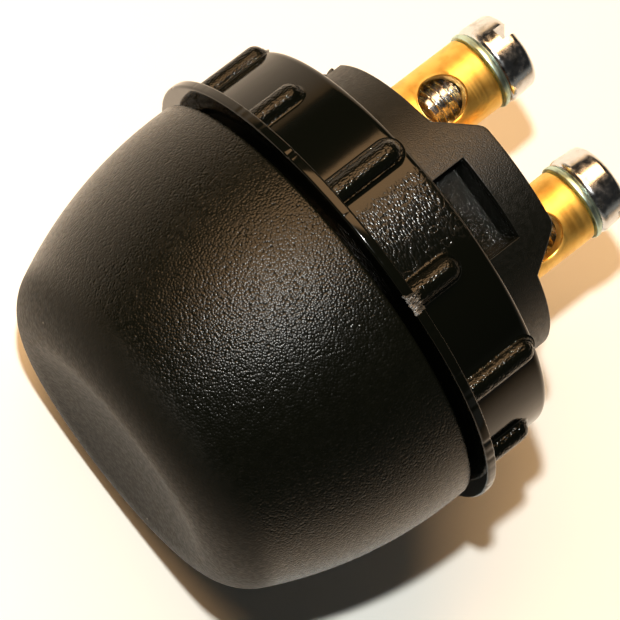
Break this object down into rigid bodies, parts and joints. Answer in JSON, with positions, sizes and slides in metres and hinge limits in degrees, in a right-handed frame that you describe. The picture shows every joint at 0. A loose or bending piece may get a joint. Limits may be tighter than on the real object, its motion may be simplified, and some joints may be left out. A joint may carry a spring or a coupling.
{
  "type": "pushbutton switch",
  "caption": "Panel pushbutton switch with a domed, dished push cap, a ribbed flanged nut on a keyed threaded barrel, and brass pillar terminals clamped by slotted screws at the back.",
  "frame": {"origin": "on the push axis, in the plane of the panel seat: the nut lip's front face and the bezel's rear face", "axes": "+Y along the push axis from the cap to the terminals, +Z through the upper key tongue, +X from the left terminal to the right one"},
  "size_m": [0.04, 0.045, 0.04],
  "materials": {
    "cap_plastic": "fine pebble grain, satin black",
    "nut_plastic": "gloss black, stippled rib crests",
    "base_plastic": "fine matt texture, black",
    "plunger_plastic": "natural, satin",
    "plate_laminate": "brown paper laminate",
    "brass": "turned, satin",
    "plated_steel": "bright zinc plate",
    "washer_steel": "dull grey plate",
    "spring_steel": "drawn wire",
    "contact_metal": "silver, satin"
  },
  "bodies": {
    "base": {"base_moulding": "base_plastic", "panel_nut": "nut_plastic", "terminal_plate": "plate_laminate", "terminal_post_left": "brass", "terminal_post_right": "brass", "post_nut_left": "plated_steel", "post_nut_right": "plated_steel", "fixed_contact_left": "brass", "fixed_contact_right": "brass", "fixed_tip_upper": "contact_metal", "fixed_tip_lower": "contact_metal", "return_spring": "spring_steel"},
    "button": {"push_cap": "cap_plastic", "plunger": "plunger_plastic", "link_screw": "plated_steel", "bridge_keeper": "plated_steel", "contact_spring": "spring_steel"},
    "bridge": {"contact_bridge": "brass", "bridge_tip_upper": "contact_metal", "bridge_tip_lower": "contact_metal"},
    "washer_left": {"terminal_washer_left": "washer_steel"},
    "screw_left": {"terminal_screw_left": "plated_steel"},
    "washer_right": {"terminal_washer_right": "washer_steel"},
    "screw_right": {"terminal_screw_right": "plated_steel"}
  },
  "joints": [
    {"name": "cap_press", "type": "slide", "parent": "base", "child": "button", "axis": [0, 1, 0], "range_m": [0, 0.0006], "stiffness_N_per_m": 1500, "springref_m": -0.0025, "deforming": ["return_spring"]},
    {"name": "bridge_float", "type": "slide", "parent": "button", "child": "bridge", "axis": [0, 1, 0], "range_m": [-0.0002, 0], "stiffness_N_per_m": 500, "springref_m": 0.0008, "deforming": ["contact_spring"]},
    {"name": "washer_left_lift", "type": "slide", "parent": "base", "child": "washer_left", "axis": [0, 1, 0], "range_m": [0, 0.0042]},
    {"name": "screw_left_turn", "type": "hinge", "parent": "washer_left", "child": "screw_left", "pos_m": [-0.00645, 0.02155, 0], "axis": [0, 1, 0], "range_deg": [0, 2160]},
    {"name": "washer_right_lift", "type": "slide", "parent": "base", "child": "washer_right", "axis": [0, 1, 0], "range_m": [0, 0.0042]},
    {"name": "screw_right_turn", "type": "hinge", "parent": "washer_right", "child": "screw_right", "pos_m": [0.00645, 0.02155, 0], "axis": [0, 1, 0], "range_deg": [0, 2160]}
  ],
  "couplings": [
    {"joint": "bridge_float", "follows": "cap_press", "ratio": -0.33333},
    {"joint": "screw_left_turn", "follows": "washer_left_lift", "rad_per_m": 8976},
    {"joint": "screw_right_turn", "follows": "washer_right_lift", "rad_per_m": 8976}
  ]
}
